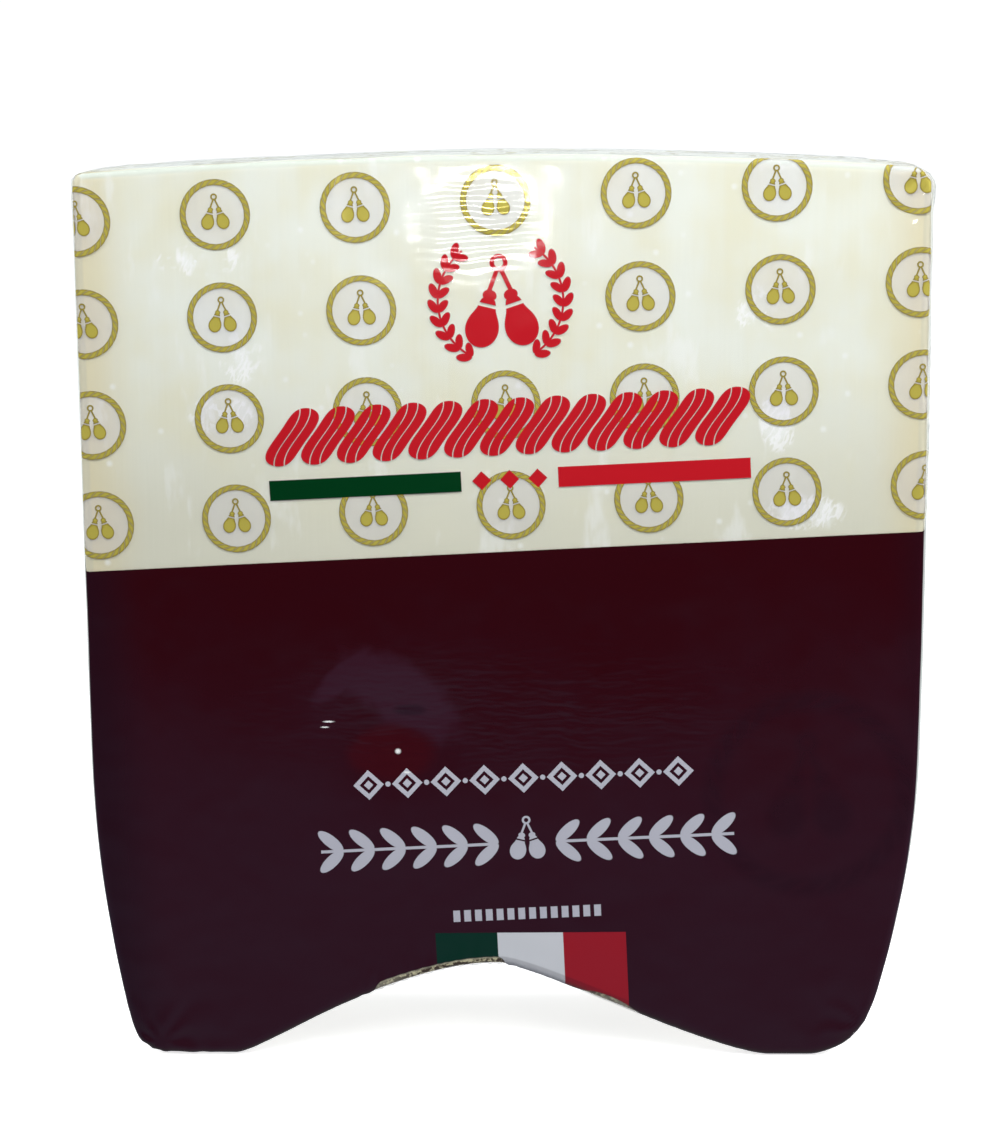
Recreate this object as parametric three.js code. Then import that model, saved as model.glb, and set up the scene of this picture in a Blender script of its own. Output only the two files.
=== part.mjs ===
// A portion of provolone shut in tight film: a slab cut lengthwise from the end of a round,
// corded cheese. The cord once ran across that end, so the underside has a groove between two
// feet. The film has shrunk onto the cheese, so the pack and the cheese share one outer form.
//
// Millimetres. +Z is up, +X is to the right and the printed face looks towards -Y. The origin
// is on the surface that the pack stands on, under the middle of the pack.
import * as THREE from 'three';

// Overall size
const HEIGHT = 145;                 // from the feet to the crown of the top
const WIDTH = 136;                  // across the crowns of the two sides
const THICKNESS = 34;               // from the printed face to the back
const EDGE_RADIUS = 2.5;            // the turn from a face into the sides, top and underside

// Sides: the cheese's own round rind, which crowns between the two cut faces
const SIDE_CROWN = 2.2;             // how far a side stands out at the middle of the thickness
const TAPER_START = 52;             // height where the sides begin to draw in towards the feet
const TAPER_REACH = { left: 6, right: 8 };       // how far they would be drawn in at the floor

// Top: a cut that arches a little and leans a little, with a corner at each end
const TOP_ARCH = 2.4;               // rise of the top's middle above its ends
const TOP_LEAN = 0.6;               // how much higher its right end is than its left end
const TOP_CORNER = { left: 3.8, right: 4.2 };

// Underside: two flat feet and the cord's groove between them
const FOOT_CORNER = { left: 5.5, right: 9 };     // the rounding from a foot up into its side
const FOOT_INNER = { left: -44, right: 43 };     // where a foot ends and the groove begins
const GROOVE_PEAK = { x: -1, z: 15 };            // the deepest point of the groove
const GROOVE_EASE = { left: 6, right: 9 };       // how gently the groove leaves each foot
const GROOVE_ROUND = { left: 18, right: 6 };     // how broad its peak is on either side

// How finely the form is cut into flats
const CURVE_STEPS = 14;             // along each curved stretch of the outline
const EDGE_STEPS = 5;               // round the turn of each edge
const SIDE_STEPS = 6;               // across the crown of a side

const FACE_HALF = WIDTH / 2 - SIDE_CROWN;        // half the width of the two cut faces

// The top is one parabola from side to side, with its crown at CROWN_X where it is HEIGHT high.
// Its tangents at x1 and x2 meet at topTangents(x1, x2).
const CROWN_X = (TOP_LEAN * FACE_HALF) / (4 * TOP_ARCH);

function topAt(x) {
  return HEIGHT - TOP_ARCH * ((x - CROWN_X) / FACE_HALF) ** 2;
}

function topTangents(x1, x2) {
  const rise = (TOP_ARCH * (x1 - CROWN_X) * (x2 - CROWN_X)) / FACE_HALF ** 2;
  return [(x1 + x2) / 2, HEIGHT - rise];
}

// One side from the floor up: the foot's corner reaches from `heel` on the floor to `side` at
// the corner's own height, round `tip`, where the tangents of its two ends meet.
function sideRun(corner, reach) {
  const tapered = TAPER_START - corner;
  const slope = (2 * reach * tapered) / TAPER_START ** 2;
  const side = FACE_HALF - reach * (tapered / TAPER_START) ** 2;
  const tip = side - slope * corner;
  return { heel: tip - corner, tip, side, taperMiddle: corner + tapered / 2 };
}

// The outline seen from the printed face, anticlockwise from the left foot's inner end.
function packOutline() {
  const left = sideRun(FOOT_CORNER.left, TAPER_REACH.left);
  const right = sideRun(FOOT_CORNER.right, TAPER_REACH.right);
  const topLeft = TOP_CORNER.left - FACE_HALF;
  const topRight = FACE_HALF - TOP_CORNER.right;
  const outline = new THREE.Path();

  // the groove, up to its peak and down again
  outline.moveTo(FOOT_INNER.left, 0);
  outline.bezierCurveTo(
    FOOT_INNER.left + GROOVE_EASE.left, 0,
    GROOVE_PEAK.x - GROOVE_ROUND.left, GROOVE_PEAK.z,
    GROOVE_PEAK.x, GROOVE_PEAK.z,
  );
  outline.bezierCurveTo(
    GROOVE_PEAK.x + GROOVE_ROUND.right, GROOVE_PEAK.z,
    FOOT_INNER.right - GROOVE_EASE.right, 0,
    FOOT_INNER.right, 0,
  );

  // the right foot, its corner and the right side
  outline.lineTo(right.heel, 0);
  outline.quadraticCurveTo(right.tip, 0, right.side, FOOT_CORNER.right);
  outline.quadraticCurveTo(FACE_HALF, right.taperMiddle, FACE_HALF, TAPER_START);
  outline.lineTo(FACE_HALF, topAt(FACE_HALF) - TOP_CORNER.right);

  // the top with its two corners, from right to left
  outline.quadraticCurveTo(FACE_HALF, topAt(FACE_HALF), topRight, topAt(topRight));
  outline.quadraticCurveTo(...topTangents(topLeft, topRight), topLeft, topAt(topLeft));
  outline.quadraticCurveTo(
    -FACE_HALF, topAt(-FACE_HALF),
    -FACE_HALF, topAt(-FACE_HALF) - TOP_CORNER.left,
  );

  // the left side, its corner and the left foot
  outline.lineTo(-FACE_HALF, TAPER_START);
  outline.quadraticCurveTo(-FACE_HALF, left.taperMiddle, -left.side, FOOT_CORNER.left);
  outline.quadraticCurveTo(-left.tip, 0, -left.heel, 0);
  outline.lineTo(FOOT_INNER.left, 0);

  const points = outline.getPoints(CURVE_STEPS);
  points.pop();                     // the last point closes the outline on the first
  return points;
}

// The way out of the pack at each point of its outline: square to the line through its neighbours.
function outwardNormals(points) {
  return points.map((point, i) => {
    const before = points[(i + points.length - 1) % points.length];
    const after = points[(i + 1) % points.length];
    const along = after.clone().sub(before).normalize();
    return new THREE.Vector2(along.y, -along.x);
  });
}

// The stations across the thickness, from the printed face to the back. At each, the outline
// is drawn in by `inset`, which rounds the edges.
function stations() {
  const toEdge = THICKNESS / 2 - EDGE_RADIUS;
  const edge = [];
  for (let step = 0; step <= EDGE_STEPS; step++) {
    const turn = (Math.PI / 2) * (step / EDGE_STEPS);
    edge.push({
      y: toEdge + EDGE_RADIUS * Math.cos(turn),
      inset: EDGE_RADIUS * (1 - Math.sin(turn)),
    });
  }
  const side = [];
  for (let step = 1; step < SIDE_STEPS; step++) {
    side.push({ y: toEdge * ((2 * step) / SIDE_STEPS - 1), inset: 0 });
  }
  const front = edge.map(({ y, inset }) => ({ y: -y, inset }));
  return [...front, ...side, ...edge.reverse()];
}

// One ring of the pack's skin. The crown moves only sideways, so the feet stay flat.
function ringAt({ y, inset }, points, normals) {
  const crown = SIDE_CROWN * (1 - ((2 * y) / THICKNESS) ** 2);
  return points.map((point, i) => {
    const out = normals[i];
    return new THREE.Vector3(
      point.x - inset * out.x + crown * out.x * Math.abs(out.x),
      y,
      point.y - inset * out.y,
    );
  });
}

// The whole skin: rings joined by quads, and a flat face closing the first and the last ring.
function packGeometry() {
  const points = packOutline();
  const normals = outwardNormals(points);
  const rings = stations().map((station) => ringAt(station, points, normals));
  const count = points.length;
  const last = (rings.length - 1) * count;
  const triangles = [];

  for (let ring = 0; ring < rings.length - 1; ring++) {
    for (let i = 0; i < count; i++) {
      const next = (i + 1) % count;
      const here = ring * count;
      const behind = here + count;
      triangles.push(here + i, behind + i, behind + next);
      triangles.push(here + i, behind + next, here + next);
    }
  }

  const faceOutline = rings[0].map((corner) => new THREE.Vector2(corner.x, corner.z));
  for (const [a, b, c] of THREE.ShapeUtils.triangulateShape(faceOutline, [])) {
    triangles.push(a, b, c);
    triangles.push(last + a, last + c, last + b);
  }

  const geometry = new THREE.BufferGeometry();
  geometry.setFromPoints(rings.flat());
  geometry.setIndex(triangles);
  geometry.computeVertexNormals();
  return geometry;
}

const film = new THREE.MeshStandardMaterial({ color: 0xe4e6d8, roughness: 0.22, metalness: 0 });

const pack = new THREE.Mesh(packGeometry(), film);
pack.name = 'provolone_pack';

const portion = new THREE.Group();
portion.add(pack);

export default portion;
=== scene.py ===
# %% [markdown]
# # A portion of provolone in printed shrink film
#
# This lesson finishes one pack of cheese. A slab was cut lengthwise from the end of a round,
# corded provolone. Its front, back and top are ivory cuts. Its sides and underside are rind, and
# the hanging cord left a groove between two feet. The slab was dropped into a printed film bag,
# the air was drawn out and the film was shrunk with heat until it lay on the cheese all over.
#
# The construction is already made elsewhere and is loaded first as a fixed frame. Everything here
# takes its sizes from it, in metres for objects and in millimetres inside node trees.

import math

import bpy
from mathutils import Matrix, Vector


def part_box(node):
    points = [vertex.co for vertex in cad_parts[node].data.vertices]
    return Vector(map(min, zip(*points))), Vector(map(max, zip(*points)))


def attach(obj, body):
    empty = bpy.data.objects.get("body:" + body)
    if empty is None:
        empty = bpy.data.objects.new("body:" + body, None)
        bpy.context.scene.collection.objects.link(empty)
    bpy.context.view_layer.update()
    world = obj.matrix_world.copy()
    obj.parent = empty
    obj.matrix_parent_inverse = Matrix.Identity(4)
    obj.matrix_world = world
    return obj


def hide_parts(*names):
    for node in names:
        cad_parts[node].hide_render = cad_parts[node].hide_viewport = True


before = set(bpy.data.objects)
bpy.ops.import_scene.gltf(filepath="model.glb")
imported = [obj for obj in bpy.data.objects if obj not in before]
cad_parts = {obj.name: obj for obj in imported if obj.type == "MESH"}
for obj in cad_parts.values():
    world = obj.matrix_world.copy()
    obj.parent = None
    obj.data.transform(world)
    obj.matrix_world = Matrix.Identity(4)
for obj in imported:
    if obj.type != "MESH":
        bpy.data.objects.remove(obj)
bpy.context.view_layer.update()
MM = 0.001
pack_low, pack_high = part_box("provolone_pack")
WIDTH, THICKNESS, HEIGHT = (round(side / MM, 1) for side in pack_high - pack_low)
print(f"the pack is {WIDTH} mm wide, {THICKNESS} mm thick and {HEIGHT} mm high")

# %% [markdown]
# ## The eye
#
# The camera comes first, so that every later choice can be judged from where the pack is seen. It
# stands about three pack heights away and looks down on the pack by eleven degrees. A camera can be
# placed by hand in the viewport. Here it is worked out from a distance and three angles, so that
# each of them can be changed alone.

# %% Place the camera
EYE_DISTANCE = 444.56
EYE_RISE = math.radians(11.0)
EYE_TURN = math.radians(0.913)
EYE_ROLL = math.radians(-0.26)
LENS_LENGTH = 85.35
SENSOR_SIZE = 36.0
FRAMING_SHIFT = (-0.0046, 0.024)


def place_camera():
    """A camera that looks at the middle of the pack, rolled a little about its line of sight."""
    back = Vector((
        math.sin(EYE_TURN) * math.cos(EYE_RISE),
        -math.cos(EYE_TURN) * math.cos(EYE_RISE),
        math.sin(EYE_RISE),
    ))
    aim = Vector((0, 0, HEIGHT / 2)) * MM
    data = bpy.data.cameras.new("eye")
    data.lens = LENS_LENGTH
    data.sensor_width = SENSOR_SIZE
    data.shift_x, data.shift_y = FRAMING_SHIFT
    data.clip_start = 0.01
    data.clip_end = 20
    eye = bpy.data.objects.new("eye", data)
    bpy.context.collection.objects.link(eye)
    turn = (-back).to_track_quat("-Z", "Y").to_matrix() @ Matrix.Rotation(EYE_ROLL, 3, "Z")
    eye.matrix_world = Matrix.Translation(aim + back * EYE_DISTANCE * MM) @ turn.to_4x4()
    bpy.context.scene.camera = eye
    return eye


camera = place_camera()
bpy.context.scene.view_settings.view_transform = "Standard"
print("the eye is at", [round(side, 4) for side in camera.location])

# %% [markdown]
# ## A bench for node trees
#
# Every form and every finish below is a tree of nodes. Trees can be wired by hand, but a printed
# film needs hundreds of small sums. So a socket is wrapped in a small class that knows how to add,
# multiply and compare, and an expression in Python lays out the Math nodes by itself. All other
# nodes come from one method that takes the node's type, its settings and its sockets.

# %% A wire that can be used in sums
class Wire:
    """One value that runs through a node tree. A sum of wires adds the tree's own Math nodes."""

    def __init__(self, bench, socket):
        self.bench = bench
        self.socket = socket

    def other(self, name):
        """Another output of the node that this wire comes from."""
        return Wire(self.bench, self.socket.node.outputs[name])

    def has_parts(self):
        """True for a vector or a colour, False for a plain number."""
        return self.socket.type in {"VECTOR", "RGBA"}

    def work(self, operation, *others, clamp=False):
        return self.bench.work(operation, self, *others, clamp=clamp)

    def spread(self):
        """A number as a vector with that number in every part."""
        return self.bench.join(self, self, self)

    def __add__(self, other):
        return self.work("ADD", other)

    def __sub__(self, other):
        return self.work("SUBTRACT", other)

    def __rsub__(self, other):
        return self.bench.work("SUBTRACT", other, self)

    def __mul__(self, other):
        return self.work("MULTIPLY", other)

    def __truediv__(self, other):
        return self.work("DIVIDE", other)

    def __rtruediv__(self, other):
        return self.bench.work("DIVIDE", other, self)

    def __pow__(self, power):
        return self.work("POWER", power)

    def __gt__(self, other):
        return self.work("GREATER_THAN", other)

    def __lt__(self, other):
        return self.work("LESS_THAN", other)

    def __neg__(self):
        return self * -1

    def __abs__(self):
        return self.work("ABSOLUTE")

    __radd__ = __add__
    __rmul__ = __mul__


# %% The bench that nodes are laid out on
class Bench:
    """A node tree, and the ways that nodes are put into it."""

    def __init__(self, tree):
        self.tree = tree

    def add(self, kind, settings=(), sockets=(), out=0):
        """One node: first its settings, then its sockets, each a plain value or a wire."""
        node = self.tree.nodes.new(kind)
        for name, value in dict(settings).items():
            if name == "stops":
                self.set_stops(node.color_ramp, value)
            else:
                setattr(node, name, value)
        for name, value in dict(sockets).items():
            if isinstance(value, Wire):
                self.tree.links.new(value.socket, node.inputs[name])
            else:
                node.inputs[name].default_value = value
        return Wire(self, node.outputs[out])

    def set_stops(self, ramp, stops):
        while len(ramp.elements) < len(stops):
            ramp.elements.new(1.0)
        for element, (position, colour) in zip(ramp.elements, stops):
            element.position = position
            element.color = colour

    def work(self, operation, *values, clamp=False):
        """A Math node for numbers, or a Vector Math node where a vector or a colour takes part."""
        if any(isinstance(value, Wire) and value.has_parts() for value in values):
            return self.work_parts(operation, *values)
        settings = {"operation": operation, "use_clamp": clamp}
        return self.add("ShaderNodeMath", settings, dict(enumerate(values)))

    def work_parts(self, operation, *values):
        one_number = isinstance(values[-1], (int, float))
        if operation == "MULTIPLY" and one_number:
            sockets = {0: values[0], "Scale": values[1]}
            return self.add("ShaderNodeVectorMath", {"operation": "SCALE"}, sockets)
        lifted = [(value,) * 3 if isinstance(value, (int, float)) else value for value in values]
        return self.add("ShaderNodeVectorMath", {"operation": operation}, dict(enumerate(lifted)))

    def split(self, vector):
        """The three parts of a vector."""
        first = self.add("ShaderNodeSeparateXYZ", {}, {0: vector}, out="X")
        return first, first.other("Y"), first.other("Z")

    def join(self, x, y, z):
        return self.add("ShaderNodeCombineXYZ", {}, {"X": x, "Y": y, "Z": z})

    def length(self, x, y):
        """How far (x, y) is from the middle of its drawing."""
        settings = {"operation": "LENGTH"}
        return self.add("ShaderNodeVectorMath", settings, {0: self.join(x, y, 0.0)}, out="Value")

    def from_spot(self, x, z, spot):
        """How far (x, z) is from the middle of an oval spot, in units of the spot's own size."""
        return self.length((x - spot["x"]) / spot["wide"], (z - spot["z"]) / spot["high"])

    def pick(self, choice, where_0, where_1):
        """where_0 turning into where_1 as choice goes from 0 to 1."""
        return where_0 + (where_1 - where_0) * choice

    def smaller(self, *values):
        least = values[0]
        for value in values[1:]:
            least = self.work("MINIMUM", least, value)
        return least

    def larger(self, *values):
        most = values[0]
        for value in values[1:]:
            most = self.work("MAXIMUM", most, value)
        return most

    def noise(self, place, grain, detail=1.0, roughness=0.5, dimensions="3D"):
        """Smooth randomness between 0 and 1, with blobs about `grain` apart in place's units."""
        sockets = {"Vector": place, "Scale": 1 / grain, "Detail": detail, "Roughness": roughness}
        return self.add("ShaderNodeTexNoise", {"noise_dimensions": dimensions}, sockets)

    def ease(self, value, start, end):
        """0 before start, 1 past end, and an S-shaped ramp between them."""
        sockets = {"Value": value, "From Min": start, "From Max": end}
        return self.add("ShaderNodeMapRange", {"interpolation_type": "SMOOTHSTEP"}, sockets)


# %% [markdown]
# ## The outline of the slab
#
# Seen from the front, the slab is a closed line of straight, round and S-shaped stretches. The same
# line could be drawn point by point, but it is clearer as a few Bezier stretches worked out from
# sizes that a cheesemonger would measure: how far a foot's corner is rounded, how much the top
# arches, how deep the cord has bitten.
#
# The skin will later be stretched between four rims, so the line is cut into four at the middle of
# its corners. All of them run anticlockwise: underside, right side, top, left side.

# %% Sizes of the slab, in millimetres
EDGE_RADIUS = 0.85
SIDE_CROWN = 2.2
TAPER_START = 52
TAPER_REACH = {"left": 6, "right": 9.2}
TOP_ARCH = 2.4
TOP_LEAN = 0.6
TOP_CORNER = {"left": 1.25, "right": 3.4}
FOOT_CORNER = {"left": 5.5, "right": 9}
FOOT_INNER = {"left": -44, "right": 43}
GROOVE_PEAK = (-1, 15.35)
GROOVE_EASE = {"left": 4, "right": 9}
GROOVE_ROUND = {"left": 18, "right": 6}
FACE_HALF = WIDTH / 2 - SIDE_CROWN
CROWN_X = TOP_LEAN * FACE_HALF / (4 * TOP_ARCH)
RIM_SMOOTHNESS = 32
print(f"a cut face is {2 * FACE_HALF:.1f} mm wide between its rinds")


# %% The height of the top, and the run of a side
def top_at(x):
    """The height of the arched top above the floor, at x."""
    return HEIGHT - TOP_ARCH * ((x - CROWN_X) / FACE_HALF) ** 2


def top_tangents(x1, x2):
    """Where the top's tangents at x1 and x2 meet."""
    rise = TOP_ARCH * (x1 - CROWN_X) * (x2 - CROWN_X) / FACE_HALF ** 2
    return (x1 + x2) / 2, HEIGHT - rise


def side_run(hand):
    """Where a side stands on the floor, where its corner's tangents meet, and where it goes up."""
    corner = FOOT_CORNER[hand]
    tapered = TAPER_START - corner
    slope = 2 * TAPER_REACH[hand] * tapered / TAPER_START ** 2
    side = FACE_HALF - TAPER_REACH[hand] * (tapered / TAPER_START) ** 2
    tip = side - slope * corner
    return {"heel": tip - corner, "tip": tip, "side": side, "middle": corner + tapered / 2}


# %% Straight, curved and halved stretches
def straight(start, end):
    """A straight stretch, as the four points of a cubic Bezier."""
    step = [(b - a) / 3 for a, b in zip(start, end)]
    return [
        start,
        (start[0] + step[0], start[1] + step[1]),
        (end[0] - step[0], end[1] - step[1]),
        end,
    ]


def bend(start, meeting, end):
    """A stretch that leaves start towards meeting and arrives at end from there."""
    def towards(a, b):
        return a[0] + (b[0] - a[0]) * 2 / 3, a[1] + (b[1] - a[1]) * 2 / 3
    return [start, towards(start, meeting), towards(end, meeting), end]


def halves(stretch):
    """The two halves of a stretch, by De Casteljau's construction."""
    def middle(a, b):
        return (a[0] + b[0]) / 2, (a[1] + b[1]) / 2
    a, b, c, d = stretch
    ab, bc, cd = middle(a, b), middle(b, c), middle(c, d)
    abc, bcd = middle(ab, bc), middle(bc, cd)
    centre = middle(abc, bcd)
    return [a, ab, abc, centre], [centre, bcd, cd, d]


# %% The four rims
def slab_rims():
    """Underside, right side, top and left side, each a list of stretches, all anticlockwise."""
    left, right = side_run("left"), side_run("right")
    inner_left, inner_right = (FOOT_INNER["left"], 0), (FOOT_INNER["right"], 0)
    peak_x, peak_z = GROOVE_PEAK
    groove = [
        [
            inner_left,
            (inner_left[0] + GROOVE_EASE["left"], 0),
            (peak_x - GROOVE_ROUND["left"], peak_z),
            GROOVE_PEAK,
        ],
        [
            GROOVE_PEAK,
            (peak_x + GROOVE_ROUND["right"], peak_z),
            (inner_right[0] - GROOVE_EASE["right"], 0),
            inner_right,
        ],
    ]
    right_heel, right_side = (right["heel"], 0), (right["side"], FOOT_CORNER["right"])
    left_heel, left_side = (-left["heel"], 0), (-left["side"], FOOT_CORNER["left"])
    right_start, left_start = (FACE_HALF, TAPER_START), (-FACE_HALF, TAPER_START)
    right_shoulder = (FACE_HALF, top_at(FACE_HALF) - TOP_CORNER["right"])
    left_shoulder = (-FACE_HALF, top_at(-FACE_HALF) - TOP_CORNER["left"])
    top_right, top_left = FACE_HALF - TOP_CORNER["right"], TOP_CORNER["left"] - FACE_HALF
    top = bend(
        (top_right, top_at(top_right)),
        top_tangents(top_left, top_right),
        (top_left, top_at(top_left)),
    )
    right_foot = halves(bend(right_heel, (right["tip"], 0), right_side))
    right_corner = halves(bend(right_shoulder, (FACE_HALF, top_at(FACE_HALF)), top[0]))
    left_corner = halves(bend(top[-1], (-FACE_HALF, top_at(-FACE_HALF)), left_shoulder))
    left_foot = halves(bend(left_side, (-left["tip"], 0), left_heel))
    right_taper = bend(right_side, (FACE_HALF, right["middle"]), right_start)
    left_taper = bend(left_start, (-FACE_HALF, left["middle"]), left_side)
    return [
        [left_foot[1], straight(left_heel, inner_left), *groove,
         straight(inner_right, right_heel), right_foot[0]],
        [right_foot[1], right_taper, straight(right_start, right_shoulder), right_corner[0]],
        [right_corner[1], top, left_corner[0]],
        [left_corner[1], straight(left_shoulder, left_start), left_taper, left_foot[0]],
    ]


def draw_rims(name, rims):
    """The rims as one curve object, with one open Bezier spline for each."""
    curve = bpy.data.curves.new(name, "CURVE")
    curve.dimensions = "3D"
    curve.resolution_u = RIM_SMOOTHNESS
    for rim in rims:
        spline = curve.splines.new("BEZIER")
        spline.bezier_points.add(len(rim))
        points = spline.bezier_points
        for before, after, stretch in zip(points, list(points)[1:], rim):
            start, leaving, arriving, end = (Vector((x, 0, z)) * MM for x, z in stretch)
            before.co, before.handle_right = start, leaving
            after.handle_left, after.co = arriving, end
        points[0].handle_left = points[0].co
        points[-1].handle_right = points[-1].co
    rims_object = bpy.data.objects.new(name, curve)
    bpy.context.collection.objects.link(rims_object)
    return rims_object


rims_curve = draw_rims("slab_rims", slab_rims())
print("stretches in each rim:", [len(rim) for rim in slab_rims()])

# %% [markdown]
# ## Running a form
#
# A form is a Geometry Nodes tree with named inputs. It is put on an empty object as a modifier, its
# inputs are set by their identifiers, and the evaluated result is kept as a plain mesh. The
# modifier is then taken off, so that what is left is a mesh like any other.

# %% Start, close and run a form
def new_form(name, inputs):
    """A bench for a form, and a wire for each of its named inputs."""
    tree = bpy.data.node_groups.new(name, "GeometryNodeTree")
    for label, kind in inputs.items():
        tree.interface.new_socket(label, in_out="INPUT", socket_type="NodeSocket" + kind)
    tree.interface.new_socket("Geometry", in_out="OUTPUT", socket_type="NodeSocketGeometry")
    bench = Bench(tree)
    ports = tree.nodes.new("NodeGroupInput")
    return bench, {label: Wire(bench, ports.outputs[label]) for label in inputs}


def close_form(bench, geometry, finish):
    """The end of every form: real geometry, smooth, in its finish."""
    smooth = bench.add("GeometryNodeSetShadeSmooth", {}, {"Geometry": geometry})
    whole = bench.add("GeometryNodeRealizeInstances", {}, {"Geometry": smooth})
    painted = bench.add("GeometryNodeSetMaterial", {}, {"Geometry": whole, "Material": finish})
    end = bench.tree.nodes.new("NodeGroupOutput")
    bench.tree.links.new(painted.socket, end.inputs["Geometry"])


def run_form(name, bench, values):
    """A new piece with the mesh that the form makes from these values."""
    piece = bpy.data.objects.new(name, bpy.data.meshes.new(name + "_seed"))
    bpy.context.collection.objects.link(piece)
    modifier = piece.modifiers.new(bench.tree.name, "NODES")
    modifier.node_group = bench.tree
    for port in bench.tree.interface.items_tree:
        if port.in_out == "INPUT":
            modifier[port.identifier] = values[port.name]
    settled = bpy.context.evaluated_depsgraph_get()
    settled.update()
    mesh = bpy.data.meshes.new_from_object(
        piece.evaluated_get(settled), preserve_all_data_layers=True, depsgraph=settled
    )
    piece.modifiers.clear()
    piece.data = mesh
    mesh.name = name
    mesh.calc_loop_triangles()
    print(f"{name}: {len(mesh.vertices)} points, {len(mesh.loop_triangles)} triangles")
    return piece


def store(bench, geometry, domain, name, value, kind="FLOAT_VECTOR"):
    """Writes a value onto the geometry under a name, where finishes can read it."""
    settings = {"data_type": kind, "domain": domain}
    sockets = {"Geometry": geometry, "Name": name, "Value": value}
    return bench.add("GeometryNodeStoreNamedAttribute", settings, sockets)


def recall(bench, name):
    settings = {"data_type": "FLOAT_VECTOR"}
    return bench.add("GeometryNodeInputNamedAttribute", settings, {"Name": name})


# %% [markdown]
# ## The skin that cheese and film share
#
# Film that has shrunk onto a slab takes the slab's form, so one tree makes both: the cheese with
# the skin drawn in by the film's thickness, and the film with pleats of its own. A box could be
# sculpted, or the outline extruded and bevelled. Here a cube's grid is mapped onto the slab
# instead, because then every point knows which face it is on, how far it is from the rind and
# where it lay on the flat printed film. The finishes need all three.
#
# The grid's columns, stations and rows run from -1 to 1 as s, w and t. The outer fifth of the
# stations turns round the edges. Inside the outline, each point is worked out from the four rims
# by a Coons patch, the usual way to fill a frame of four curves.

# %% Where the unevenness lies, in millimetres
FLAT_SHARE = 0.78
FLAT_HALF = THICKNESS / 2 - EDGE_RADIUS
HALF_RUN = FLAT_HALF + EDGE_RADIUS * math.pi / 2
SWELL, SWELL_GRAIN = 0.7, 38
BUCKLE, BUCKLE_GRAIN = 0.12, 9
DENT = {"x": -17, "z": 54, "wide": 12, "high": 9, "deep": 0.75}
FILM_SLANT = math.radians(2.69)
CORNER_GATHERS = [
    {"x": FACE_HALF, "z": 142, "deep": 0.42, "reach": 7, "folds": 9},
    {"x": -FACE_HALF, "z": 141, "deep": 0.2, "reach": 5, "folds": 8},
    {"x": -56, "z": 2, "deep": 0.2, "reach": 5, "folds": 7},
    {"x": 58, "z": 4, "deep": 0.16, "reach": 5, "folds": 7},
]
GATHERED = {"x": -10.6, "half": 12.4}
GROOVE_GATHERS = {"deep": 0.12, "pitch": 1.9, "reach": 3.0}
END_CRINKLE = {"deep": 0.35, "grain": 3.4}
SIDE_FRILL = {"x": 65, "from": 84, "to": 124, "deep": 0.7, "grain": 2.4}
PLEAT_FLOOR = 0.12


# %% One point of the rims, drawn in and crowned
def rim_point(bench, rims, index, share, draw_in, crown):
    """The point at a share of one rim's length, moved in by draw_in and out by the crown."""
    sockets = {"Curves": rims, "Factor": share, "Curve Index": index}
    point = bench.add("GeometryNodeSampleCurve", {"mode": "FACTOR"}, sockets, out="Position")
    along_x, _, along_z = bench.split(point.other("Tangent"))
    x, _, z = bench.split(point * (1 / MM))
    out_x, out_z = along_z, -along_x
    return bench.join(x - draw_in * out_x + crown * out_x * abs(out_x), 0.0, z - draw_in * out_z)


def fill_frame(bench, rims, across, up, draw_in, crown):
    """A Coons patch: the two rulings between facing rims, less the plain blend of the corners."""
    def at(index, share):
        return rim_point(bench, rims, index, share, draw_in, crown)
    back_across, down = 1 - across, 1 - up
    ruled = at(0, across) * down.spread() + at(2, back_across) * up.spread()
    ruled = ruled + at(3, down) * back_across.spread() + at(1, up) * across.spread()
    corners = at(0, 0.0) * (down * back_across).spread() + at(0, 1.0) * (down * across).spread()
    corners = corners + at(2, 0.0) * (up * across).spread()
    corners = corners + at(2, 1.0) * (up * back_across).spread()
    return ruled - corners


# %% Where each point lay on the flat printed film
def film_place(bench, place, turn, flat, draw_in, crown, w):
    """Along the print, up the print, and how far past a cut face: all in millimetres."""
    x, y, z = bench.split(place)
    side_s, side_w, side_t = bench.split(recall(bench, "which_face"))
    run = flat * FLAT_HALF + turn * EDGE_RADIUS
    lap = HALF_RUN - run
    past_front = w.work("SIGN") * run + HALF_RUN
    on_side, on_end = abs(side_s) > 0.999, abs(side_t) > 0.999
    hand = side_s.work("SIGN")
    round_back = hand * (2 * (FACE_HALF - EDGE_RADIUS + HALF_RUN)) - x
    round_side = hand * (abs(x) - crown + draw_in - EDGE_RADIUS + past_front)
    girth = bench.pick(on_side, bench.pick(side_w > 0.0, x, round_back), round_side)
    up = z + on_end * side_t.work("SIGN") * (lap + draw_in - EDGE_RADIUS) - HEIGHT / 2
    lean = bench.smaller(bench.larger(y * (-2 / THICKNESS), -1.0), 1.0)
    print_u = girth * math.cos(FILM_SLANT) + up * math.sin(FILM_SLANT) * lean
    print_v = up * math.cos(FILM_SLANT) - x * math.sin(FILM_SLANT) + HEIGHT / 2
    return bench.join(print_u, print_v, lap)


# %% The unevenness of the cheese, and the pleats of the film over it
def slab_relief(bench, place, w):
    """A slow swell over the whole slab, and one shallow dent in the front."""
    x, _, z = bench.split(place)
    swell = (bench.noise(place, SWELL_GRAIN) - 0.5) * SWELL
    from_dent = bench.from_spot(x, z, DENT)
    dent = (from_dent * from_dent * -1.5).work("EXPONENT") * (w < -0.9) * DENT["deep"]
    return swell - dent


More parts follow.
